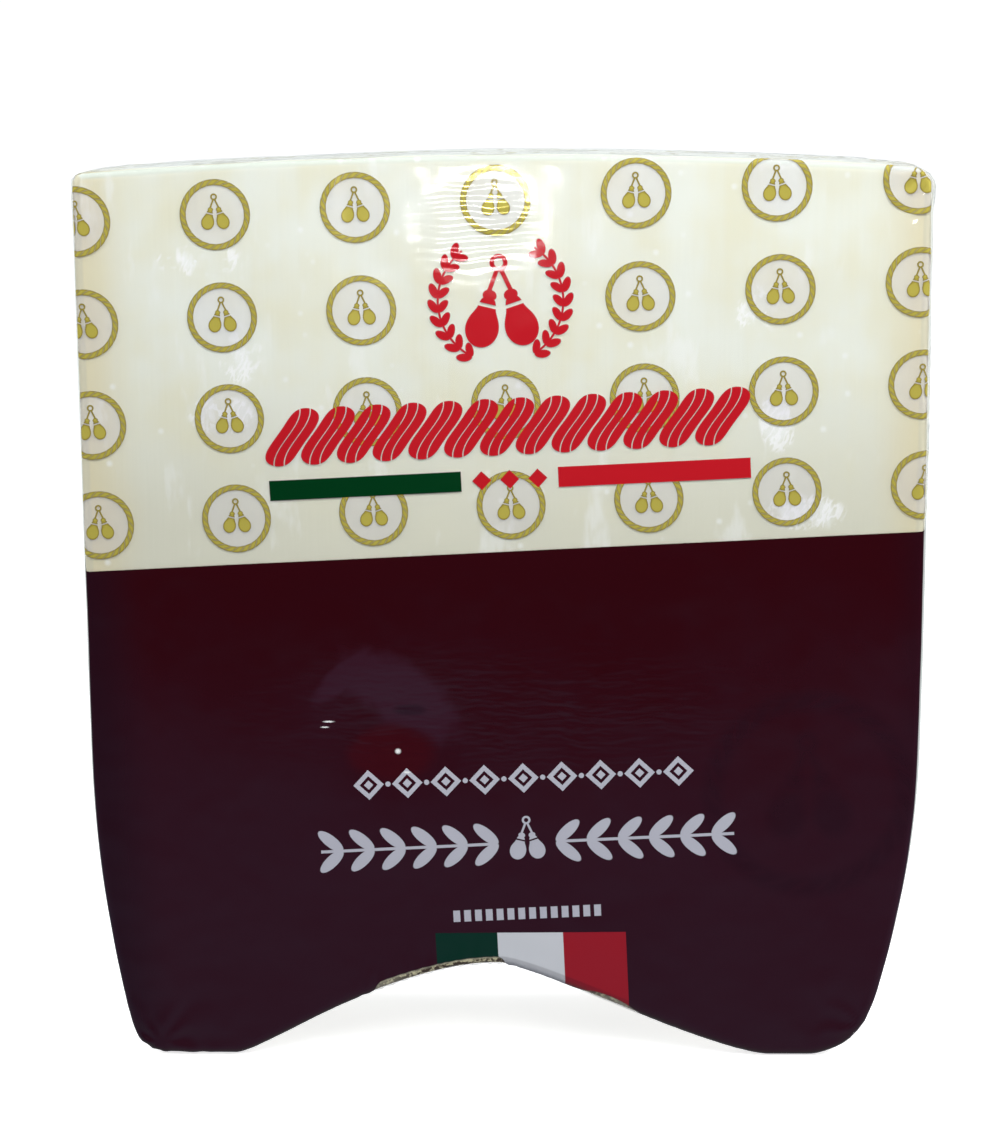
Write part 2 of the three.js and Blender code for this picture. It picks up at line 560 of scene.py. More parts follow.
def film_relief(bench, place, s, t):
    """Gathers, crinkles on the bag's ends and a frill at one side, none down to the cheese."""
    x, _, z = bench.split(place)
    rough = bench.noise(place, 6.0)
    relief = (bench.noise(place, BUCKLE_GRAIN, detail=2.0) - 0.5) * BUCKLE
    for gather in CORNER_GATHERS:
        from_x, from_z = x - gather["x"], z - gather["z"]
        away = bench.length(from_x, from_z)
        angle = bench.work("ARCTAN2", from_z, from_x)
        folds = (angle * gather["folds"] + rough * 9).work("SINE")
        fading = (away * (-1 / gather["reach"])).work("EXPONENT") * bench.ease(away, 0.5, 3.0)
        relief = relief + folds * fading * gather["deep"]
    above = (t + 1) * (HEIGHT / 2)
    in_groove = bench.ease(abs(x - GATHERED["x"]), GATHERED["half"] + 3, GATHERED["half"] - 3)
    pleats = (x * (math.tau / GROOVE_GATHERS["pitch"]) + rough * 11).work("SINE")
    fading = (above * (-1 / GROOVE_GATHERS["reach"])).work("EXPONENT") * in_groove
    relief = relief + pleats * fading * GROOVE_GATHERS["deep"]
    on_end = abs(t) > 0.999
    crinkle = abs(bench.noise(place, END_CRINKLE["grain"], detail=2.0) - 0.5) * END_CRINKLE["deep"]
    frilled = bench.ease(x, SIDE_FRILL["x"], FACE_HALF + SIDE_CROWN / 2)
    frilled = frilled * bench.ease(z, SIDE_FRILL["from"], SIDE_FRILL["from"] + 8)
    frilled = frilled * bench.ease(z, SIDE_FRILL["to"], SIDE_FRILL["to"] - 8)
    frill = abs(bench.noise(place, SIDE_FRILL["grain"], detail=2.0) - 0.5) * SIDE_FRILL["deep"]
    return bench.larger(relief - crinkle * on_end, -PLEAT_FLOOR) + frill * frilled


# %% The tree of the skin
def skin_form():
    """The grid of a cube, mapped onto the slab, with its names for the finishes stored on it."""
    bench, ports = new_form("shrunk_skin", {
        "Rims": "Object", "Columns": "Int", "Stations": "Int", "Rows": "Int",
        "Inset": "Float", "Pleats": "Float", "Finish": "Material",
    })
    sockets = {
        "Size": (2.0, 2.0, 2.0), "Vertices X": ports["Columns"],
        "Vertices Y": ports["Stations"], "Vertices Z": ports["Rows"],
    }
    grid = bench.add("GeometryNodeMeshCube", {}, sockets)
    here = bench.add("GeometryNodeInputPosition")
    grid = store(bench, grid, "POINT", "grid_place", here)
    grid = store(bench, grid, "FACE", "which_face", here)
    s, w, t = bench.split(recall(bench, "grid_place"))
    rims = bench.add("GeometryNodeObjectInfo", {}, {"Object": ports["Rims"]}, out="Geometry")

    flat = bench.smaller(abs(w) / FLAT_SHARE, 1.0)
    turn = bench.larger((abs(w) - FLAT_SHARE) * (math.pi / 2 / (1 - FLAT_SHARE)), 0.0)
    radius = EDGE_RADIUS - ports["Inset"]
    y = w.work("SIGN") * (flat * FLAT_HALF + radius * turn.work("SINE"))
    draw_in = ports["Inset"] + radius * (1 - turn.work("COSINE"))
    crown = (1 - y * y * (4 / THICKNESS ** 2)) * SIDE_CROWN
    plan = fill_frame(bench, rims, (s + 1) / 2, (t + 1) / 2, draw_in, crown)
    place = plan + bench.join(0.0, y, 0.0)
    formed = bench.add("GeometryNodeSetPosition", {}, {"Geometry": grid, "Position": place})

    printed = film_place(bench, here, turn, flat, draw_in, crown, w)
    formed = store(bench, formed, "CORNER", "print", printed)
    depth = bench.smaller((1 - abs(s)) * FACE_HALF, (t + 1) * (HEIGHT / 2))
    formed = store(bench, formed, "POINT", "depth", depth, "FLOAT")

    relief = slab_relief(bench, here, w) + film_relief(bench, here, s, t) * ports["Pleats"]
    outward = bench.add("GeometryNodeInputNormal")
    sockets = {"Geometry": formed, "Offset": outward * relief.spread()}
    uneven = bench.add("GeometryNodeSetPosition", {}, sockets)

    x, y, z = bench.split(here)
    standing = bench.join(x, y, bench.larger(z, ports["Inset"])) * MM
    sized = bench.add("GeometryNodeSetPosition", {}, {"Geometry": uneven, "Position": standing})
    for name in ("grid_place", "which_face"):
        sized = bench.add("GeometryNodeRemoveAttribute", {}, {"Geometry": sized, "Name": name})
    close_form(bench, sized, ports["Finish"])
    return bench


# %% [markdown]
# ## Colours and masks for the finishes
#
# Paint is mixed in the numbers that a screen shows, from 0 to 255, and turned into the linear
# colours that shaders work with. The print is drawn with distances: a function says how far a point
# is outside a shape, and a mask turns that into ink with a crisp edge. That keeps it sharp at any
# size, and needs no picture.

# %% Paint, masks and new finishes
INK_EDGE = 0.07


def paint(red, green, blue):
    """A colour given in screen numbers, as the linear colour that shaders take."""
    def linear(level):
        share = level / 255
        return share / 12.92 if share <= 0.04045 else ((share + 0.055) / 1.055) ** 2.4
    return linear(red), linear(green), linear(blue), 1.0


def inked(distance, edge=INK_EDGE):
    """1 inside a shape and 0 outside it, from the distance to its outline."""
    sockets = {0: distance, 1: -1 / edge, 2: 0.5}
    return distance.bench.add(
        "ShaderNodeMath", {"operation": "MULTIPLY_ADD", "use_clamp": True}, sockets
    )


def blend(factor, below, above):
    """One colour over another, as far as factor says."""
    sockets = {0: factor, 6: below, 7: above}
    return factor.bench.add("ShaderNodeMix", {"data_type": "RGBA"}, sockets, out=2)


def over(factor, below, above):
    """One shader over another, as far as factor says."""
    return factor.bench.add("ShaderNodeMixShader", {}, {0: factor, 1: below, 2: above})


def coat(bench, colour, roughness, more=()):
    """A plain painted surface; more holds any other sockets that it needs."""
    sockets = {"Base Color": colour, "Roughness": roughness, **dict(more)}
    return bench.add("ShaderNodeBsdfPrincipled", {}, sockets)


def stored(bench, name, out):
    """A value that the skin's tree stored on the mesh under this name."""
    return bench.add("ShaderNodeAttribute", {"attribute_name": name}, {}, out=out)


def new_finish(name):
    """A material with an empty node tree, and its bench."""
    finish = bpy.data.materials.new(name)
    finish.use_nodes = True
    finish.node_tree.nodes.clear()
    return finish, Bench(finish.node_tree)


def close_finish(bench, shader):
    end = bench.tree.nodes.new("ShaderNodeOutputMaterial")
    bench.tree.links.new(shader.socket, end.inputs["Surface"])


def object_place(bench):
    """Where a point is on the object, in millimetres."""
    return bench.add("ShaderNodeTexCoord", {}, {}, out="Object") * (1 / MM)


def relief_normal(bench, height):
    """The normal of a surface with this relief in millimetres."""
    return bench.add("ShaderNodeBump", {}, {"Distance": MM, "Height": height})


# %% [markdown]
# ## The cheese
#
# Aged provolone is a pulled curd: ivory, close and slightly waxy where it is cut, with faint grain
# running the way the curd was stretched, pale flecks, and whey that whitens under the film. Fine
# creases of the film near the whey carry painted glints. The bevel of the top edge has painted
# shade, a cooler and darker tone that holds back the light there, and the cut face is painted
# darker towards the bottom as painted shade.
# Towards the rind it turns straw yellow, and the rind is tan, browner where the cord pressed. A
# single noise would look like stone, so each of these is a layer of its own at its own scale. A
# little light goes into real curd and comes out again, but at this size the film hides that, so
# plain diffuse paint does the same for less.

# %% Cheese colours
# The low ivory and the bevel ivory are painted shade, the rind shine and the crease white are
# painted glints, and the whey white serves whey and painted glints.
IVORY = paint(236, 239, 228)
IVORY_DEEP = paint(231, 229, 204)
IVORY_PAINTED_LOW_SHADE = paint(221, 220, 201)
IVORY_BEVEL_PAINTED_SHADE = paint(212, 219, 208)
STRAW = paint(226, 217, 182)
RIND = paint(216, 211, 185)
RIND_BROWN = paint(72, 54, 32)
RIND_PAINTED_GLINT = paint(226, 218, 176)
WHEY_AND_GLINT_WHITE = paint(247, 249, 246)
CREASE_GLINT_WHITE = paint(255, 255, 255)
GRAIN_DEEP, CLOUD_DEEP = 0.05, 0.2
CHEESE_ROUGHNESS = 0.48
STRAW_REACH = 9.5
CORD_BROWN_REACH = 30
CRINKLE_GRAIN = 0.65
SPECK_GRAIN = 1.5
CREASE_GRAIN, CREASE_TURN, CREASE_GLINT_COVER = 1.1, 62, 0.6
WHEY_SMEARS = [
    {"x": -46.5, "z": 129, "wide": 7, "high": 2.4},
    {"x": -41, "z": 115, "wide": 3.5, "high": 5},
    {"x": -44, "z": 105, "wide": 5, "high": 3},
    {"x": 40, "z": 121, "wide": 4, "high": 4},
    {"x": 43, "z": 104, "wide": 3, "high": 5},
    {"x": 47, "z": 89.5, "wide": 6.5, "high": 2.8},
]


# %% The cheese finish
def cheese_finish():
    """Ivory curd with a straw margin, tan rind and pale whey smears, with painted shade and glints.
    """
    finish, bench = new_finish("cheese")
    place = object_place(bench)
    x, y, z = bench.split(place)
    depth = stored(bench, "depth", "Fac")
    cloud = bench.noise(place, 16, detail=3.0)
    grain = bench.noise(place * (1.0, 1.0, 0.06), 1.6, detail=2.0)
    colour = blend(bench.ease(cloud * 0.86 + grain * 0.14, 0.36, 0.7), IVORY, IVORY_DEEP)
    # Painted shade: the cut face is painted darker towards the bottom, where less light falls on
    # it.
    colour = blend(bench.ease(z + (cloud - 0.5) * 24, 116, 82), colour, IVORY_PAINTED_LOW_SHADE)
    margin = 1 - bench.ease(depth + (cloud - 0.5) * 7, 0.0, STRAW_REACH)
    colour = blend(margin * 0.9, colour, STRAW)
    # Painted shade: a cooler, darker tone on the bevel of the top edge that holds back the light
    # there.
    below_top, behind_face = top_at(x) - z, y + THICKNESS / 2
    on_bevel_painted_shade = bench.ease(below_top, 1.3, 0.5) * bench.ease(behind_face, 1.1, 0.6)
    colour = blend(on_bevel_painted_shade, colour, IVORY_BEVEL_PAINTED_SHADE)
    on_rind = 1 - bench.ease(depth, 0.05, 0.9)
    from_cord = bench.length(x - GROOVE_PEAK[0], z - GROOVE_PEAK[1])
    brown = 1 - bench.ease(from_cord + (cloud - 0.5) * 10, 12, CORD_BROWN_REACH)
    # Near the cord the rind is browner, and painted glints of the crinkled film lie on it.
    crinkle = bench.noise(place, CRINKLE_GRAIN, detail=2.0)
    pressed_brown_and_glints = blend(bench.ease(crinkle, 0.46, 0.6), RIND_BROWN, RIND_PAINTED_GLINT)
    colour = blend(on_rind, colour, blend(brown, RIND, pressed_brown_and_glints))
    streak = bench.noise(place * (1.0, 1.0, 0.35), 7, detail=4.0, roughness=0.65)
    smears = [bench.from_spot(x, z, smear) for smear in WHEY_SMEARS]
    near_smear = bench.ease(bench.smaller(*smears), 1.25, 0.2)
    smeared = bench.ease(streak + near_smear * 0.16, 0.57, 0.7)
    speck = bench.ease(bench.noise(place, SPECK_GRAIN, detail=2.0), 0.56, 0.62) * near_smear
    # Painted glints: thin white lines where fine creases of the film catch the light, near the whey
    # smears.
    along, across = turned(x, z, CREASE_TURN)
    creases = bench.noise(bench.join(along * 0.35, 0.0, across), CREASE_GRAIN, detail=2.0)
    painted_crease_glint = bench.ease(abs(creases - 0.5), 0.07, 0.03) * bench.ease(streak, 0.48, 0.54)
    painted_crease_glint = painted_crease_glint * bench.ease(near_smear, 0.02, 0.25) * (1 - on_rind) * CREASE_GLINT_COVER
    fleck = bench.add("ShaderNodeTexVoronoi", {}, {"Vector": place, "Scale": 0.2})
    flecks = inked(fleck * 5 - 0.45, 0.5)
    whey = bench.larger(smeared * (near_smear * 0.35 + 0.45), flecks * 0.6, speck * 0.85)
    whey = whey * (1 - on_rind)
    colour = blend(whey, colour, WHEY_AND_GLINT_WHITE)
    colour = blend(painted_crease_glint, colour, CREASE_GLINT_WHITE)
    normal = relief_normal(bench, grain * GRAIN_DEEP + cloud * CLOUD_DEEP)
    close_finish(bench, coat(bench, colour, CHEESE_ROUGHNESS, {"Normal": normal}))
    return finish


# %% [markdown]
# ## The printed film
#
# The film was printed while it was flat, so its pattern is drawn in print millimetres: u along the
# film and v up it. The skin stored those on every corner. The upper part is clear with small gold
# medallions, a red centre piece and a tricolour line. The lower part is a field of dark wine red
# with white ornaments and a tricolour patch at the groove. Lettering is left out, and ropes, leaves
# and little cord-hung cheeses stand in its place.
#
# Each motif is a function that gives the distance to its outline, so that it can be scaled, set in
# a row or repeated without more work.

# %% Print colours
GOLD_EDGE = paint(146, 130, 42)
GOLD_FACE = paint(198, 184, 84)
GOLD_VEIL = paint(238, 234, 244)
RED = paint(190, 26, 36)
GREEN = paint(0, 54, 22)
PATCH_GREEN = paint(10, 50, 38)
PATCH_RED = paint(158, 30, 42)
WHITE = paint(190, 190, 200)
PATCH_WHITE = paint(212, 214, 218)
# The low wine and the haze are painted reflections, the glow is painted light, and the dark wine
# serves print and painted shade.
WINE_TOP = paint(50, 5, 12)
WINE_LOW_REFLECTION = paint(50, 19, 31)
WINE_DARK = paint(36, 14, 25)
WINE_HAZE_REFLECTION = paint(62, 32, 48)
WINE_GLOW = paint(72, 8, 15)


# %% Repeats in a row
def nearest_in_row(bench, x, pitch, count):
    """x measured from the nearest of `count` places that are `pitch` apart and centred on zero."""
    half = (count - 1) / 2
    place = bench.smaller(bench.larger((x / pitch + half).work("ROUND"), 0.0), count - 1.0)
    return x - (place - half) * pitch


def nearest_anywhere(x, pitch):
    """x measured from the nearest of endless places that are `pitch` apart."""
    return ((x / pitch + 0.5).work("FRACT") - 0.5) * pitch


def turned(x, y, degrees):
    """x and y measured along axes that are turned by an angle."""
    cos, sin = math.cos(math.radians(degrees)), math.sin(math.radians(degrees))
    return x * cos + y * sin, y * cos - x * sin


def box_outline(bench, x, y, half_x, half_y):
    """The distance outside a plain rectangle."""
    return bench.larger(abs(x) - half_x, abs(y) - half_y)


# %% Two little cheeses that hang from one cord
CORD_HALF = 0.13
CHEESE_LEAN = 16


def hung_pair(bench, x, y):
    """Two pear-shaped cheeses with knobs, tied to the ends of one cord, as mirror images."""
    reach = abs(x)
    across, along = turned(reach - 1.02, y + 0.55, CHEESE_LEAN)
    body = bench.length(across, (along + 0.62) / 1.12) - 1.0
    neck = bench.length(across, along - 0.98) - 0.34
    pear = bench.work("SMOOTH_MIN", body, neck, 1.7)
    tie = 0.1 - abs(along - 0.8)
    knob = bench.length(across, (along - 1.42) / 0.8) - 0.42
    from_loop = bench.length(x, y - 2.72)
    cord = box_outline(bench, *turned(reach - 0.36, y - 1.75, 113), 1.12, CORD_HALF)
    cord = bench.larger(cord, 0.4 - from_loop)
    return bench.smaller(bench.larger(pear, tie), knob, cord, abs(from_loop - 0.4) - CORD_HALF)


# %% A medallion: a ring of twisted rope round a hung pair
RING_RADIUS = 4.95
RING_HALF = 0.47
RING_STRANDS = 26
RING_LAY = 3.4
STRAND_GAP = 0.04


def medallion(bench, x, y):
    """The distance to a rope ring with a hung pair inside it, and the distance to its disc."""
    away = bench.length(x, y)
    turn = bench.work("ARCTAN2", y, x) * (RING_STRANDS / 2) + (away - RING_RADIUS) * RING_LAY
    to_gap = abs(turn.work("SINE")) * (2 * RING_RADIUS / RING_STRANDS)
    rope = bench.larger(abs(away - RING_RADIUS) - RING_HALF, STRAND_GAP - to_gap)
    return bench.smaller(rope, hung_pair(bench, x, y)), away - RING_RADIUS


# %% A leaf, and a pair of sprigs
def leaf(bench, x, y, length, width):
    """The distance to a leaf that starts at zero and grows along x."""
    half = length / 2
    away = bench.length((x - half) / half, y / width)
    return (away - 1) * width


SPRIG_RADIUS = 9.7
SPRIG_LEAVES = 9
SPRIG_START, SPRIG_END = 0.62, 2.45


def sprigs(bench, x, y):
    """Two leafy sprigs that rise round the centre piece from below, as mirror images."""
    away = bench.length(x, y)
    angle = bench.work("ARCTAN2", abs(x), -y)
    pitch = (SPRIG_END - SPRIG_START) / (SPRIG_LEAVES - 1)
    from_middle = angle - (SPRIG_START + SPRIG_END) / 2
    along = nearest_in_row(bench, from_middle, pitch, SPRIG_LEAVES) * SPRIG_RADIUS
    aside = abs(away - SPRIG_RADIUS)
    leaves = leaf(bench, *turned(along + 0.95, aside, 38), 2.4, 0.62)
    half_run = (SPRIG_END - SPRIG_START) / 2 * SPRIG_RADIUS
    stem = bench.larger(aside - 0.17, abs(from_middle) * SPRIG_RADIUS - half_run - 0.8)
    return bench.smaller(leaves, stem)


# %% The twisted rope across the front
ROPE_STRAND = 5.6
ROPE_COUNT = 13
ROPE_HALF_HIGH = 4.5
ROPE_SWING = 2.3
ROPE_GAP = 0.34


def twisted_rope(bench, x, y):
    """A band of plump S-shaped strands, each with two fine lines of fibre along it."""
    share = y / ROPE_HALF_HIGH
    swing = share * (1.6 - share * share * 0.6) * ROPE_SWING
    along = nearest_in_row(bench, x - swing, ROPE_STRAND, ROPE_COUNT)
    half_wide = (ROPE_STRAND - ROPE_GAP) / 2
    strand = (bench.length(along / half_wide, share * share) - 1) * half_wide
    fibre = 0.08 - abs(abs(along) - 0.8)
    return bench.larger(strand, fibre, abs(along) - half_wide)


# %% [markdown]
# ### The clear film itself
#
# Clear film shows what is under it and adds a thin gloss on top. Refraction through a tenth of a
# millimetre is too small to see, so a transparent shader under a mirror-like one is enough. A
# Fresnel node could mix them, but it takes the cheese's side of the film for the inside of solid
# glass and holds light back there, so Schlick's rule is used, which is the same from both sides.
# Ink is opaque and has the same gloss. The fine relief of the film is a bump: stretch lines that
# run upright, crowded ripples below the top edge, and small wrinkles round the dent.

# %% The fine relief of the film
RIPPLES = {"x": -4, "z": 134, "wide": 11, "high": 9, "pitch": 1.7, "deep": 0.02}
WRINKLES = {"x": 0, "z": 57, "wide": 46, "high": 13, "deep": 0.12}
SLOW_WAVES, STRETCH_LINES = 0.12, 0.006
FACING_GLOSS = 0.04
FILM_ROUGHNESS = 0.1


def film_surface(bench, place):
    """The normal of the film, with its fine ripples and wrinkles."""
    x, _, z = bench.split(place)
    slow = bench.noise(place, 7, detail=1.0)
    stretch = bench.noise(place * (1.0, 1.0, 0.07), 1.3, detail=1.0)
    lines = bench.noise(place * (0.22, 1.0, 1.0) + slow * 1.5, 1.1, detail=1.0)
    ripple = (z * (math.tau / RIPPLES["pitch"]) + slow * 8).work("SINE")
    off_top = bench.ease(bench.from_spot(x, z, RIPPLES), 0.4, 1.1)
    off_dent = bench.ease(bench.from_spot(x, z, WRINKLES), 0.2, 1.2)
    height = slow * SLOW_WAVES + stretch * STRETCH_LINES
    height = height + ripple * (1 - off_top) * RIPPLES["deep"]
    height = height + lines * (1 - off_dent) * WRINKLES["deep"]
    return relief_normal(bench, height)


def clear_film(bench, normal, roughness=FILM_ROUGHNESS):
    """Film with no ink: what is under it, and a gloss on top that grows towards its rim."""
    slant = bench.add("ShaderNodeLayerWeight", {}, {"Blend": 0.5}, out="Facing")
    gloss = slant ** 5 * (1 - FACING_GLOSS) + FACING_GLOSS
    through = bench.add("ShaderNodeBsdfTransparent", {}, {"Color": (0.985, 0.985, 0.98, 1.0)})
    sockets = {"Color": (0.98, 0.98, 0.98, 1.0), "Roughness": roughness, "Normal": normal}
    return over(gloss, through, bench.add("ShaderNodeBsdfGlossy", {}, sockets))


# %% The upper print: gold medallions, a red centre piece and a tricolour line
LATTICE_WIDE, LATTICE_HIGH = 21.6, 15.8
LATTICE_AT = (2.1, 138.0)
CENTRE_PIECE = {"u": 2.1, "v": 121.4, "scale": 2.6}
SPRIGS_AT = (2.1, 122.6)
CLEAR_ROUND_CENTRE = 8.6
ROPE_AT = (2.1, 103.0)
LINE_AT = (2.1, 94.7)
LINE_HALF = (37.7, 1.6)
LINE_GAP_HALF = 7.6
GAP_LOZENGES = {"pitch": 4.4, "count": 3, "half": 1.5}
VEIL_COVER = 0.22
GOLD_METAL = 0.2


def upper_print(bench, u, v, normal):
    """Clear film with gold, red and tricolour ink on it."""
    gold, disc = medallion(
        bench,
        nearest_anywhere(u - LATTICE_AT[0], LATTICE_WIDE),
        nearest_anywhere(v - LATTICE_AT[1], LATTICE_HIGH),
    )
    scale = CENTRE_PIECE["scale"]
    hung_u, hung_v = (u - CENTRE_PIECE["u"]) / scale, (v - CENTRE_PIECE["v"]) / scale
    hung = hung_pair(bench, hung_u, hung_v) * scale
    from_centre_u, from_centre_v = u - SPRIGS_AT[0], v - SPRIGS_AT[1]
    leaves = sprigs(bench, from_centre_u, from_centre_v)
    kept_clear = CLEAR_ROUND_CENTRE - bench.length(from_centre_u, from_centre_v)
    gold, disc = bench.larger(gold, kept_clear), bench.larger(disc, kept_clear)
    rope = twisted_rope(bench, u - ROPE_AT[0], v - ROPE_AT[1])
    along, up = u - LINE_AT[0], v - LINE_AT[1]
    lozenge = nearest_in_row(bench, along, GAP_LOZENGES["pitch"], GAP_LOZENGES["count"])
    lozenges = abs(lozenge) + abs(up) - GAP_LOZENGES["half"]
    line = bench.larger(box_outline(bench, along, up, *LINE_HALF), LINE_GAP_HALF - abs(along))
    inks = bench.smaller(hung, leaves, rope, line, lozenges)
    green = inked(bench.larger(line, along))
    gold_ink = inked(gold)
    gilt = blend(inked(gold + 0.14, 0.22), GOLD_EDGE, GOLD_FACE)
    gilt = blend(gold_ink, GOLD_VEIL, gilt)
    plain_ink = inked(inks)
    colour = blend(plain_ink, gilt, blend(green, RED, GREEN))
    metal = gold_ink * (1 - plain_ink) * GOLD_METAL
    ink = coat(bench, colour, FILM_ROUGHNESS, {"Metallic": metal, "Normal": normal})
    cover = bench.larger(gold_ink, plain_ink, inked(disc) * VEIL_COVER)
    return over(cover, clear_film(bench, normal), ink)


# %% The lower print: ornaments, a leafy band and a tricolour patch on the wine field
LOZENGES = {"u": 1.8, "v": 46.4, "pitch": 6.2, "count": 9}
LEAF_BAND = {"u": 1.9, "v": 35.7, "pitch": 5.0, "count": 6, "gap": 6.6}
SQUARES = {"u": 1.3, "v": 23.9, "pitch": 1.75, "count": 14, "half": (0.55, 0.95)}
PATCH = {
    "left": -13.7, "green_to": -3.7, "white_to": 6.9, "right": 17.05, "top": 20.7, "dip": 0.0387,
}
SHADOW_MEDALLION = {"u": 47.2, "v": 41.6, "scale": 3.1, "soft": 1.8, "dark": 0.4}
HAZES = [
    {"x": -16.6, "z": 60.0, "turn": -36, "long": 11.0, "high": 5.2},
    {"x": -25.6, "z": 63.4, "turn": 44, "long": 6.2, "high": 1.9},
]
HAZE_COVER = 0.55
DIMPLE_SHADE = {"x": -15.3, "z": 57.6, "wide": 2.6, "high": 1.0, "cover": 0.6}
GLOW = {"x": -18, "z": 50.5, "wide": 7.5, "high": 5, "cover": 0.4}
GLINTS = [
    {"x": -17, "z": 50.8, "wide": 0.42, "high": 0.38},
    {"x": -28, "z": 55.8, "wide": 0.8, "high": 0.14},
    {"x": -28.6, "z": 54.9, "wide": 0.6, "high": 0.12},
    {"x": -15.6, "z": 47.4, "wide": 0.5, "high": 0.16},
    {"x": -3.6, "z": 17.6, "wide": 0.9, "high": 0.1},
]
INK_LAP = 3.4
GATHERED_LAP = -1.0
DRAWN_UP = {"x": 17, "half": 13, "lap": -0.35}
FOLD_HIGH, FOLD_SHADE = 1.1, 0.27
BARE_UNDER = {"half": 53.0, "top": 30.0}


def lozenge_row(bench, u, v):
    """Open diamonds with a dot in each, and a dot between each two."""
    along, up = u - LOZENGES["u"], abs(v - LOZENGES["v"])
    here = abs(nearest_in_row(bench, along, LOZENGES["pitch"], LOZENGES["count"])) + up
    between = nearest_in_row(bench, along, LOZENGES["pitch"], LOZENGES["count"] - 1)
    diamond = bench.smaller(abs(here - 1.95) - 0.5, here - 0.75)
    return bench.smaller(diamond, bench.length(between, up) - 0.42)


def leaf_band(bench, u, v):
    """A stem with pairs of leaves that point away from a hung pair in the middle."""
    along, up = u - LEAF_BAND["u"], v - LEAF_BAND["v"]
    run = LEAF_BAND["pitch"] * (LEAF_BAND["count"] - 1)
    outward = abs(along) - LEAF_BAND["gap"] - run / 2
    from_joint = nearest_in_row(bench, outward, LEAF_BAND["pitch"], LEAF_BAND["count"])
    leaves = leaf(bench, *turned(from_joint + 1.9, abs(up), 42), 5.0, 0.95)
    stem = bench.larger(abs(up) - 0.24, abs(outward) - run / 2 - 1.6)
    middle = hung_pair(bench, along / 1.3, (up - 0.2) / 1.3) * 1.3
    return bench.smaller(leaves, stem, middle)


def wine_colour(bench, u, v, place):
    """The wine field, redder high up, with painted reflections, painted shade and a painted glow.
    """
    cloud = bench.noise(place, 26, detail=2.0)
    crumple = bench.noise(place, 4.5, detail=2.0) - 0.5
    x, y, z = bench.split(place)
    # Painted reflection: the wine turns cooler and bluer low down, as if the film mirrored a bluish
    # surround.
    off_middle = bench.larger((2 - u) * 0.25, (u - 2) * 0.1)
    low = bench.ease(v + (cloud - 0.5) * 34 - off_middle + crumple * 14, 76, 24)
    colour = blend(low, WINE_TOP, WINE_LOW_REFLECTION)
    # Painted shade: the wine darkens past the front's left and right edges, where the film turns
    # round the sides, and stays darker on the sides and back.
    colour = blend(bench.ease(abs(u - 2), 58, 68) * 0.7, colour, WINE_DARK)
    # A bluish haze where the film stands off the cheese: partly the film's own dull look, partly
    # painted reflection.
    haze_spots = []
    for haze in HAZES:
        along, across = turned(x - haze["x"], z - haze["z"], haze["turn"])
        haze_spots.append(bench.length(along / haze["long"], across / haze["high"]))
    from_haze_spot = bench.smaller(*haze_spots) + crumple * 0.7
    # Painted glow: a brighter red oval round the largest painted glint, standing in for light; the
    # haze keeps out of it.
    in_glow = bench.ease(bench.from_spot(x, z, GLOW) + crumple * 0.3, 1.1, 0.7)
    in_front = y < 0.0
    hazy = bench.ease(from_haze_spot, 1.2, 0.7) * (1 - in_glow) * in_front
    colour = blend(hazy * HAZE_COVER, colour, WINE_HAZE_REFLECTION)
    # Painted shade: a small dark spot inside the painted haze.
    in_dimple_shade = bench.ease(bench.from_spot(x, z, DIMPLE_SHADE) + crumple, 1.2, 0.5) * in_front
    colour = blend(in_dimple_shade * DIMPLE_SHADE["cover"], colour, WINE_DARK)
    return blend(in_glow * in_front * GLOW["cover"], colour, WINE_GLOW)


